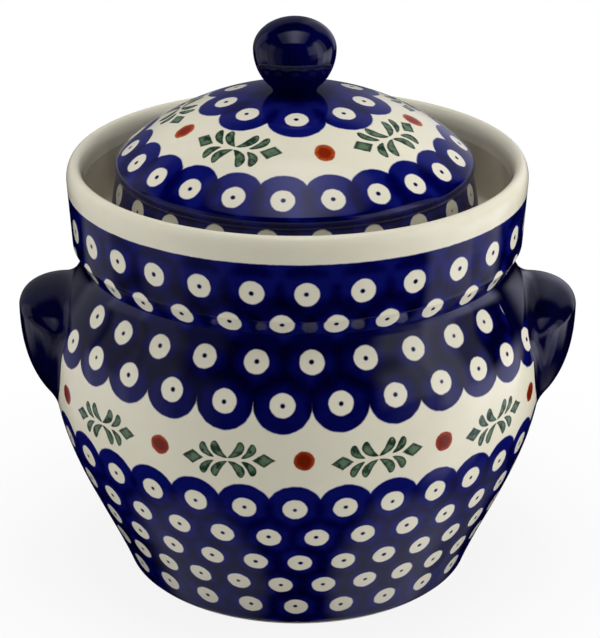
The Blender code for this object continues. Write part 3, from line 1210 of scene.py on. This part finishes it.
@dataclass
class Lid:
    """The domed lid, whose skirt stands in the gutter and has two gas notches."""

    middle: Point = (-0.0013, 0.0)
    apex: float = 0.2489
    dome_radius: float = 0.130
    seat_radius: float = 0.012
    edge_radius: float = 0.0888
    edge_rounding: float = 0.005
    edge_overhang: float = 0.001
    skirt_base: float = 0.1742
    skirt_radius: float = 0.0923
    skirt_top: float = 0.0878
    wall: float = 0.0065
    notch_width: float = 0.009
    notch_height: float = 0.0035
    notch_softness: float = 0.4
    edge_turn: float = 35.0
    skirt_curve: float = 0.8
    inner_span: Point = (0.92, 0.08)

    @property
    def dome_centre(self) -> float:
        """Height of the dome's centre."""
        return self.apex - self.dome_radius

    @property
    def seat_height(self) -> float:
        """Height of the flat land under the knob."""
        return self.dome_centre + math.sqrt(self.dome_radius ** 2 - self.seat_radius ** 2)

    def outline(self) -> Outline:
        """Return the lid's outline: 0 is decorated, 1 is the plain inside."""
        centre, rounding = self.dome_centre, self.edge_rounding
        edge = self.edge_radius - rounding
        edge_height = centre + math.sqrt((self.dome_radius - rounding) ** 2 - edge ** 2)
        seat_angle = math.degrees(math.acos(self.seat_radius / self.dome_radius))
        edge_angle = math.degrees(math.atan2(edge_height - centre, edge))
        turned_under = rounding * math.sin(math.radians(self.edge_turn))
        crease = edge_height - turned_under - self.edge_overhang
        foot = (self.skirt_radius - self.wall / 2.0, self.skirt_base + self.wall / 4.0)
        made = Outline()
        made.run([(0.0, self.seat_height)], 0)
        outer = (self.dome_radius, self.dome_radius)
        made.run(arc((0.0, centre), outer, seat_angle, edge_angle, 44), 0)
        made.run(arc((edge, edge_height), (rounding, rounding),
                     edge_angle, -self.edge_turn, 12)[1:], 0)
        made.run([(self._skirt(z, crease), z) for z in spread(crease, foot[1], 20)], 0)
        made.run(arc(foot, (self.wall / 2.0, self.wall / 4.0), 0.0, -180.0, 10)[1:], 1)
        inner_dome, inner_start = self.dome_radius - self.wall, self.skirt_top - self.wall
        angle = math.degrees(math.acos(inner_start / inner_dome))
        top = centre + inner_dome * math.sin(math.radians(angle))
        inner_foot = self.skirt_radius - self.wall
        made.run([(inner_start + (inner_foot - inner_start) * share, top + (foot[1] - top) * share)
                  for share in spread(*self.inner_span, 9)], 1)
        made.run(arc((0.0, centre), (inner_dome, inner_dome), angle, 90.0, 24)[:-1], 1)
        made.run([(0.0, centre + inner_dome)], 1)
        return made

    def _skirt(self, height: float, crease: float) -> float:
        """Return the skirt's outer radius at a height below the crease."""
        t = min(max((crease - height) / (crease - self.skirt_base), 0.0), 1.0)
        flare = math.sin(0.5 * math.pi * t) ** self.skirt_curve
        return self.skirt_top + (self.skirt_radius - self.skirt_top) * flare

    @staticmethod
    def decoration() -> DecoratedGlaze:
        """Return the lid's painted glaze."""
        return DecoratedGlaze(
            "lid_glaze",
            rows=(StampRow(34.0, 244.4, 9, 1.2, sway=1.9, ripple=2.0),
                  StampRow(81.0, 220.6, 22, -4.6, sway=-0.7, lean=0.9, ripple=0.5),
                  StampRow(90.0, 203.5, 22, 8.2)),
            stamp=SpongeStamp(eye=5.6, disc=14.2, soak=14.6),
            bands=(Band(Direction.OUT, -5.0, 33.0), Band(Direction.OUT, 81.0, 120.0),
                   # Band(OUT, -5, 20) below is painted shade and a painted reflection: it darkens
                   # the blue round the knob's foot, where the knob's shadow and its dark mirror
                   # image lie.
                   Band(Direction.UP, 160.0, 214.5), Band(Direction.OUT, -5.0, 20.0, 5.0, 1.8)),
            sprigs=(BerrySprigRow(StampRow(57.4, 235.5, 5, -25.5, sway=4.5, lean=4.0, ripple=4.2),
                                  StampRow(57.6, 235.4, 5, 10.6, sway=4.0, lean=1.4, ripple=2.0),
                                  Direction.OUT, size=1.06),),
            colours=GlazeColours(cobalt=(0.0050, 0.0075, 0.135), navy=(0.0008, 0.0012, 0.070),
                                 deepest=(0.0003, 0.0003, 0.030), berry=(0.22, 0.017, 0.003),
                                 berry_thin=(0.46, 0.080, 0.014)))

    def _cut_notches(self, lid: bpy.types.Object) -> None:
        """Cut the two gas notches under the skirt, front and back."""
        reach, half = self.skirt_radius + self.wall, self.notch_width / 2.0
        shape = bmesh.new()
        bmesh.ops.create_cube(shape, size=1.0)
        for vert in shape.verts:
            vert.co = Vector((vert.co.x * self.notch_width, vert.co.y * 2.0 * reach,
                              self.skirt_base + vert.co.z * 2.0 * self.notch_height))
        through = [edge for edge in shape.edges
                   if abs(edge.verts[0].co.x - edge.verts[1].co.x) < ON_AXIS
                   and abs(edge.verts[0].co.z - edge.verts[1].co.z) < ON_AXIS]
        bmesh.ops.bevel(shape, geom=through, offset=half * self.notch_softness, segments=3,
                        affect="EDGES")
        cutter = finished_object("notch_tool", shape, ())
        cutter.location = lid.location
        modifier = lid.modifiers.new("notches", "BOOLEAN")
        modifier.operation, modifier.solver, modifier.object = "DIFFERENCE", "EXACT", cutter
        bake_modifiers(lid)
        bpy.data.objects.remove(cutter, do_unlink=True)

    def build(self, inside: bpy.types.Material) -> bpy.types.Object:
        """Turn, cut and dress the lid.

        Args:
            inside: The plain glaze inside.

        Returns:
            The lid.
        """
        lid = turn("lid_dome", self.outline(), (self.decoration().material(), inside), self.middle)
        self._cut_notches(lid)
        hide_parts("lid")
        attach(lid, "lid")
        return lid


def bake_modifiers(item: bpy.types.Object) -> None:
    """Replace an object's mesh by the one that its modifiers make."""
    graph = bpy.context.evaluated_depsgraph_get()
    graph.update()
    mesh = bpy.data.meshes.new_from_object(item.evaluated_get(graph), depsgraph=graph)
    item.modifiers.clear()
    item.data = mesh


@dataclass
class Knob:
    """The solid ball knob on the lid."""

    seat_height: float
    middle: Point
    radius: float = 0.0203
    neck_radius: float = 0.0108
    shoulder_radius: float = 0.0139
    shoulder_rise: float = 0.0041
    widest_rise: float = 0.0208
    crown: float = 0.0152
    hollow: float = 1.6

    def outline(self) -> Outline:
        """Return the knob's outline."""
        base = self.seat_height + SEAM
        widest, shoulder = base + self.widest_rise, base + self.shoulder_rise
        angle = -math.degrees(math.acos(self.shoulder_radius / self.radius))
        lower = (widest - shoulder) / math.sin(math.radians(-angle))
        made = Outline()
        made.run([(0.0, base), (self.neck_radius, base)], 0)
        start = arc((0.0, widest), (self.radius, lower), angle, 0.0, 24)
        bend = [(self.neck_radius + (start[0][0] - self.neck_radius) * t ** self.hollow,
                 base + self.shoulder_rise * t) for t in spread(0.0, 1.0, 6)[1:-1]]
        made.run(bend, 0)
        made.run(start, 0)
        made.run(arc((0.0, widest), (self.radius, self.crown), 0.0, 90.0, 28)[1:-1], 0)
        made.run([(0.0, widest + self.crown)], 0)
        return made

    def build(self, glaze: bpy.types.Material) -> bpy.types.Object:
        """Turn and dress the knob.

        Args:
            glaze: Its plain blue glaze.

        Returns:
            The knob.
        """
        knob = turn("ball_knob", self.outline(), (glaze,), self.middle, KNOB_SEGMENTS)
        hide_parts("lid_knob")
        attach(knob, "lid")
        return knob


@dataclass
class Lug:
    """A solid lifting lug, blended into the pot's shoulder by a fillet of slip."""

    side: Side
    pot: Pot
    root_radius: float = 0.105
    reach: float = 0.0358
    half_width: float = 0.0428
    crest: float = 0.1299
    upper: float = 0.0155
    lower: float = 0.0504
    rise: float = 0.24
    plan_squareness: float = 2.15
    upper_squareness: float = 1.8
    lower_squareness: float = 2.4
    fillet_up: float = 0.006
    fillet_out: float = 0.0055
    wall_sink: float = 0.00015
    waist_gap: float = 0.0002
    search_step: float = 0.04
    search_end: float = 0.75 * math.pi
    halvings: int = 30
    fillet_step: float = 0.004
    least_start: float = 0.1
    beside_step: float = 0.01
    slope_step: float = 0.0005
    sharp: float = 60.0
    around: int = 96
    rings: int = 30

    def surface(self, around: float, away: float) -> Vector:
        """Return a point of the lug's full form.

        Args:
            around: Angle round the axis that points out, in radians.
            away: Angle from that axis, in radians.

        Returns:
            The point, for a lug on the right.
        """
        x, y = math.cos(away), math.sin(away) * math.cos(around)
        z = math.sin(away) * math.sin(around)
        latitude, longitude = math.asin(max(-1.0, min(1.0, z))), math.atan2(y, x)
        above = latitude >= 0.0
        height = self.upper if above else self.lower
        profile = 2.0 / (self.upper_squareness if above else self.lower_squareness)
        plan = 2.0 / self.plan_squareness
        level = max(math.cos(latitude), 0.0) ** profile
        up = height * math.copysign(abs(math.sin(latitude)) ** profile, latitude)
        across = math.copysign(abs(math.sin(longitude)) ** plan, math.sin(longitude))
        along = math.copysign(abs(math.cos(longitude)) ** plan, math.cos(longitude))
        out = self.reach * along * level
        return Vector((self.root_radius + out, self.half_width * across * level,
                       self.crest + up + self.rise * out))

    def _depth(self, point: Vector) -> float:
        """Return how far a point is outside the pot's wall."""
        height = min(max(point.z, 0.0), self.pot.waist_height)
        return math.hypot(point.x, point.y) - self.pot.radius_at(height)

    def _meeting(self, around: float) -> float:
        """Return the angle from the tip at which the lug meets the pot's wall."""
        low, high = 0.0, 0.0
        while self._depth(self.surface(around, high)) > 0.0 and high < self.search_end:
            low, high = high, high + self.search_step
        for _ in range(self.halvings):
            middle = 0.5 * (low + high)
            if self._depth(self.surface(around, middle)) > 0.0:
                low = middle
            else:
                high = middle
        return low

    def _on_wall(self, point: Vector) -> Vector:
        """Return a point moved onto the pot's wall, a little below its surface."""
        height = min(point.z, self.pot.waist_height - self.waist_gap)
        radius = self.pot.radius_at(height) - self.wall_sink
        scale = radius / math.hypot(point.x, point.y)
        return Vector((point.x * scale, point.y * scale, height))

    def _spoke(self, around: float) -> list[Vector]:
        """Return the points from the lug's tip to the end of its fillet on the wall."""
        meeting = self._meeting(around)
        root = self.surface(around, meeting)
        start = meeting
        while ((self.surface(around, start) - root).length < self.fillet_up
               and start > self.least_start):
            start -= self.fillet_step
        first = self.surface(around, start)
        after = around + self.beside_step
        beside = self.surface(after, self._meeting(after)) - root
        normal = Vector((root.x, root.y, 0.0)).normalized()
        above = self.pot.radius_at(min(root.z + self.slope_step, self.pot.waist_height))
        slope = (above - self.pot.radius_at(root.z)) / self.slope_step
        normal = (normal - Vector((0.0, 0.0, slope))).normalized()
        outward = beside.cross(normal).normalized()
        if outward.dot(root - first) < 0.0:
            outward = -outward
        end = self._on_wall(root + outward * self.fillet_out)
        points = [self.surface(around, start * (step / self.rings))
                  for step in range(1, self.rings + 1)]
        for step in range(1, FILLET_STEPS + 1):
            t = step / FILLET_STEPS
            points.append(first * (1.0 - t) ** 2 + root * (2.0 * t * (1.0 - t)) + end * t ** 2)
        return points

    def build(self, glaze: bpy.types.Material) -> bpy.types.Object:
        """Shape and dress the lug.

        Args:
            glaze: Its plain blue glaze.

        Returns:
            The lug.
        """
        shape = bmesh.new()
        spokes = [self._spoke(2.0 * math.pi * step / self.around) for step in range(self.around)]
        tip = self.surface(0.0, 0.0)
        sign = self.side.value
        centre = shape.verts.new((tip.x * sign, tip.y, tip.z))
        lines = [[shape.verts.new((p.x * sign, p.y, p.z)) for p in spoke] for spoke in spokes]
        for number, line in enumerate(lines):
            after = lines[(number + 1) % self.around]
            shape.faces.new((centre, line[0], after[0]))
            for row in range(len(line) - 1):
                shape.faces.new((line[row], line[row + 1], after[row + 1], after[row]))
        bmesh.ops.recalc_face_normals(shape, faces=shape.faces)
        if sum(face.normal.x * sign for face in shape.faces) < 0.0:
            bmesh.ops.reverse_faces(shape, faces=shape.faces)
        lug = finished_object("lifting_lug_" + self.side.word, shape, (glaze,), self.sharp)
        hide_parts("lug_" + self.side.word)
        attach(lug, "crock")
        return lug


@dataclass
class Weight:
    """A half-moon weight of bare clay that lies on the pot's floor."""

    side: Side
    base: float = 0.0093
    radius: float = 0.066
    thickness: float = 0.016
    split: float = 0.004
    hole_radius: float = 0.012
    edge: float = 0.0015
    edge_steps: int = 5
    sharp: float = 40.0

    def plan(self) -> list[Point]:
        """Return the weight's plan outline."""
        outer = math.acos(self.split / 2.0 / self.radius)
        hole = math.acos(self.split / 2.0 / self.hole_radius)
        sign = self.side.value
        rounds = ((self.radius, spread(-outer, outer, 72)),
                  (self.hole_radius, spread(hole, -hole, 24)))
        return [(sign * radius * math.cos(a), radius * math.sin(a))
                for radius, angles in rounds for a in angles]

    def build(self, clay: bpy.types.Material) -> bpy.types.Object:
        """Shape and dress the weight.

        Args:
            clay: Its bare clay.

        Returns:
            The weight.
        """
        shape = bmesh.new()
        face = shape.faces.new([shape.verts.new((x, y, self.base)) for x, y in self.plan()])
        grown = bmesh.ops.extrude_face_region(shape, geom=[face])
        raised = [item for item in grown["geom"] if isinstance(item, bmesh.types.BMVert)]
        bmesh.ops.translate(shape, vec=(0.0, 0.0, self.thickness), verts=raised)
        bmesh.ops.recalc_face_normals(shape, faces=shape.faces)
        name = "half_moon_" + self.side.word
        weight = finished_object(name, shape, (clay,))
        bevel = weight.modifiers.new("soft_edges", "BEVEL")
        bevel.width, bevel.segments = self.edge, self.edge_steps
        bevel.limit_method, bevel.angle_limit = "ANGLE", math.radians(self.sharp)
        bake_modifiers(weight)
        node = "weight_" + self.side.word
        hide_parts(node)
        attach(weight, node)
        return weight


# Studio


@dataclass(frozen=True)
class Softbox:
    """A bright panel that the glaze mirrors, between directions in degrees."""

    left: float
    right: float
    bottom: float
    top: float
    level: float
    side_edge: float = 3.0
    end_edge: float = 3.0

    def glow(self, turned: Signal, raised: Signal) -> Signal:
        """Return the panel's light in a direction.

        Args:
            turned: Degrees to the right of the camera's side.
            raised: Degrees above the horizon.

        Returns:
            The light, where 1 is white.
        """
        sketch = turned.sketch
        return (sketch.between(turned, self.left, self.right, self.side_edge)
                * sketch.between(raised, self.bottom, self.top, self.end_edge) * self.level)


@dataclass(frozen=True)
class OverheadBox:
    """A bright panel overhead, brightest along its middle, in heights above the ware."""

    left: float = -0.62
    right: float = 0.5
    front: float = -0.6
    back: float = 0.25
    edge: float = 0.07
    level: float = 0.3
    tube: float = 1.45
    tube_place: float = 0.02
    tube_width: float = 0.26
    tube_fall: float = 2.718
    least_rise: float = 0.05

    def glow(self, across: Signal, deep: Signal, up: Signal) -> Signal:
        """Return the panel's light in a direction.

        Args:
            across: The direction's part to the right.
            deep: Its part away from the camera's side.
            up: Its part upwards.

        Returns:
            The light, where 1 is white.
        """
        sketch = up.sketch
        height = up.most(self.least_rise)
        side, depth = across / height, deep / height
        panel = (sketch.between(side, self.left, self.right, self.edge)
                 * sketch.between(depth, self.front, self.back, self.edge))
        off = (side - self.tube_place) / self.tube_width
        return panel * (self.tube_fall ** (-(off * off)) * self.tube + self.level)


@dataclass(frozen=True)
class Lamp:
    """A soft area lamp that lights the ware and isn't seen itself."""

    name: str
    place: Colour
    aim: Colour
    size: float
    power: float

    def build(self) -> None:
        """Set the lamp up."""
        data = bpy.data.lights.new(self.name, "AREA")
        data.shape, data.size, data.energy = "DISK", self.size, self.power
        lamp = bpy.data.objects.new(self.name, data)
        bpy.context.scene.collection.objects.link(lamp)
        lamp.location = self.place
        towards = Vector(self.aim) - Vector(self.place)
        lamp.rotation_euler = towards.to_track_quat("-Z", "Y").to_euler()
        lamp.visible_camera = False
        lamp.visible_glossy = False


@dataclass
class Studio:
    """The pale floor, the softboxes, the lamps and the camera."""

    eye: Colour = (0.00123, -1.017, 0.5643)
    tilt: float = 66.6
    focal_pixels: float = 2172.0
    middle_below: float = 4.8
    sensor: float = 36.0
    sight: float = 50.0
    floor_radius: float = 6.0
    floor_segments: int = 96
    floor_grey: Colour = (0.82, 0.82, 0.82)
    shadow_fade: Point = (90.0, 300.0)
    shadow_share: float = 0.13
    fill: float = 0.34
    softbox_tint: Colour = (0.97, 0.96, 1.18)
    overhead: OverheadBox = OverheadBox()
    panels: tuple[Softbox, ...] = (
        Softbox(66.0, 84.0, -14.0, 42.0, 1.20, 3.5, 6.0),
        Softbox(69.0, 84.0, -42.0, -14.0, 0.72, 3.5, 6.0),
        Softbox(58.0, 70.0, -12.0, 40.0, 0.40, 7.0, 8.0),
        Softbox(46.0, 62.0, -16.0, 0.0, 0.25, 10.0, 8.0),
        Softbox(40.0, 65.0, 2.0, 35.0, 0.75, 6.0, 6.0),
        Softbox(84.0, 99.0, -36.0, 42.0, 0.42, 2.0, 5.0),
        Softbox(84.0, 122.0, -25.0, -2.0, 1.10, 5.0, 6.0),
        Softbox(134.0, 170.0, -10.0, 12.0, 0.45, 7.0, 6.0),
        Softbox(134.0, 170.0, 12.0, 43.0, 0.26, 7.0, 5.0),
        Softbox(165.0, 200.0, -12.0, 42.0, 0.13, 8.0, 6.0),
        Softbox(-84.0, -60.0, -30.0, 32.0, 0.36, 6.0, 6.0),
        Softbox(-112.0, -82.0, -24.0, 2.0, 0.50, 3.0, 5.0),
        Softbox(-106.0, -84.0, 2.0, 26.0, 0.30, 3.0, 5.0),
        Softbox(-136.0, -110.0, -28.0, 34.0, 0.30, 5.0, 5.0),
        Softbox(-60.0, -36.0, -30.0, 30.0, 0.12, 6.0, 8.0),
        Softbox(-190.0, -134.0, -12.0, 42.0, 0.13, 5.0, 6.0),
        Softbox(-130.0, -50.0, -84.0, -50.0, 0.24, 14.0, 5.0),
        Softbox(50.0, 130.0, -84.0, -50.0, 0.40, 14.0, 5.0),
        Softbox(84.0, 150.0, -50.0, -38.0, 0.12, 8.0, 4.0),
    )
    lamps: tuple[Lamp, ...] = (
        Lamp("overhead_lamp", (0.0, 0.10, 1.45), (0.0, 0.0, 0.15), 1.0, 9.2),
        Lamp("right_lamp", (1.25, -0.25, 0.24), (0.0, 0.0, 0.12), 1.0, 12.5),
        Lamp("left_lamp", (-1.25, -0.20, 0.24), (0.0, 0.0, 0.12), 1.0, 6.5),
    )

    def build_floor(self) -> None:
        """Lay the plain pale floor, which keeps the crock's shadow and fades to white."""
        shape = bmesh.new()
        bmesh.ops.create_circle(shape, cap_ends=True, segments=self.floor_segments,
                                radius=self.floor_radius)
        material, sketch = new_material("pale_floor")
        paths = sketch.node("ShaderNodeLightPath")
        glossy = Signal(sketch, paths.outputs["Is Glossy Ray"])
        seen = Signal(sketch, paths.outputs["Is Camera Ray"])
        far = sketch.ramped(WarePlace(sketch).radius, *self.shadow_fade)
        plain = sketch.node("ShaderNodeBsdfDiffuse", inputs={"Color": self.floor_grey})
        lit = sketch.node("ShaderNodeEmission", inputs={"Color": (1.0, 1.0, 1.0), "Strength": 1.0})
        clear = sketch.node("ShaderNodeBsdfTransparent")
        whitened = seen * (far * self.shadow_share + (1.0 - self.shadow_share))
        white = sketch.node("ShaderNodeMixShader", inputs={
            0: whitened, 1: plain.outputs[0], 2: lit.outputs[0]})
        mixed = sketch.node("ShaderNodeMixShader", inputs={
            0: glossy, 1: white.outputs[0], 2: clear.outputs[0]})
        sketch.node("ShaderNodeOutputMaterial", inputs={"Surface": mixed.outputs[0]})
        floor = finished_object("floor", shape, (material,))

    def build_world(self) -> None:
        """Set the white surround, the soft fill and the softboxes that the glaze mirrors."""
        world = bpy.data.worlds.new("studio")
        world.use_nodes = True
        bpy.context.scene.world = world
        sketch = ShaderSketch(world.node_tree)
        paths = sketch.node("ShaderNodeLightPath")
        towards = sketch.node("ShaderNodeTexCoord").outputs["Generated"]
        across, deep, up = sketch.parts(towards)
        turned = sketch.maths("ARCTAN2", across, -deep) * DEGREES
        raised = sketch.maths("ARCSINE", up) * DEGREES
        mirrored: Number = self.overhead.glow(across, deep, up)
        for panel in self.panels:
            mirrored = panel.glow(turned, raised) + mirrored
        glossy = Signal(sketch, paths.outputs["Is Glossy Ray"])
        clear = Signal(sketch, paths.outputs["Is Transmission Ray"])
        seen = Signal(sketch, paths.outputs["Is Camera Ray"])
        level = mirrored * glossy + self.fill * (1.0 - glossy)
        white = seen.most(clear)
        strength = level * (1.0 - white) + white
        tint = sketch.blend(glossy, (1.0, 1.0, 1.0), self.softbox_tint)
        back = sketch.node("ShaderNodeBackground", inputs={"Color": tint, "Strength": strength})
        sketch.node("ShaderNodeOutputWorld", inputs={"Surface": back.outputs[0]})

    def build_camera(self) -> None:
        """Set the camera at the photograph's place, angle and framing."""
        data = bpy.data.cameras.new("camera")
        camera = bpy.data.objects.new("camera", data)
        bpy.context.scene.collection.objects.link(camera)
        data.sensor_width = self.sensor
        data.sensor_fit = "AUTO"
        data.lens = self.sensor * self.focal_pixels / max(PHOTO_SIZE)
        data.shift_y = self.middle_below / max(PHOTO_SIZE)
        data.clip_end = self.sight
        camera.location = self.eye
        camera.rotation_euler = (math.radians(self.tilt), 0.0, 0.0)
        bpy.context.scene.camera = camera

    def build(self) -> None:
        """Set the studio up."""
        bpy.context.scene.view_settings.view_transform = "Standard"
        self.build_world()
        self.build_floor()
        for lamp in self.lamps:
            lamp.build()
        self.build_camera()


def main() -> None:
    """Build and dress every piece and log its faces, then set the studio up."""
    logging.basicConfig(level=logging.INFO, format="%(message)s")
    inside = PlainGlaze("inner_glaze", (0.54, 0.48, 0.35), (0.64, 0.59, 0.45), 30.0).material()
    clay = BareClay("bare_clay").material()
    # The knob's coat fades below 266.5 mm: painted shade that darkens the lower part of the ball.
    knob_glaze = PlainGlaze("deep_blue_glaze", (0.0004, 0.0004, 0.010), (0.0009, 0.0011, 0.050),
                            coat=GlossCoat(roughness=0.04, full_from=266.5,
                                           shaded_foot_gloss=0.1)).material()
    lug_glaze = PlainGlaze("lug_glaze", (0.0006, 0.0005, 0.007),
                           (0.0014, 0.0013, 0.030)).material()
    pot, lid = Pot(), Lid()
    pieces = [pot.build(inside, clay), GutterCollar().build(inside)]
    pieces += [Lug(side, pot).build(lug_glaze) for side in Side]
    pieces += [lid.build(inside), Knob(lid.seat_height, lid.middle).build(knob_glaze)]
    pieces += [Weight(side).build(clay) for side in Side]
    for piece in pieces:
        log.info("%s: %d faces", piece.name, len(piece.data.polygons))
    Studio().build()


if __name__ == "__main__":
    main()
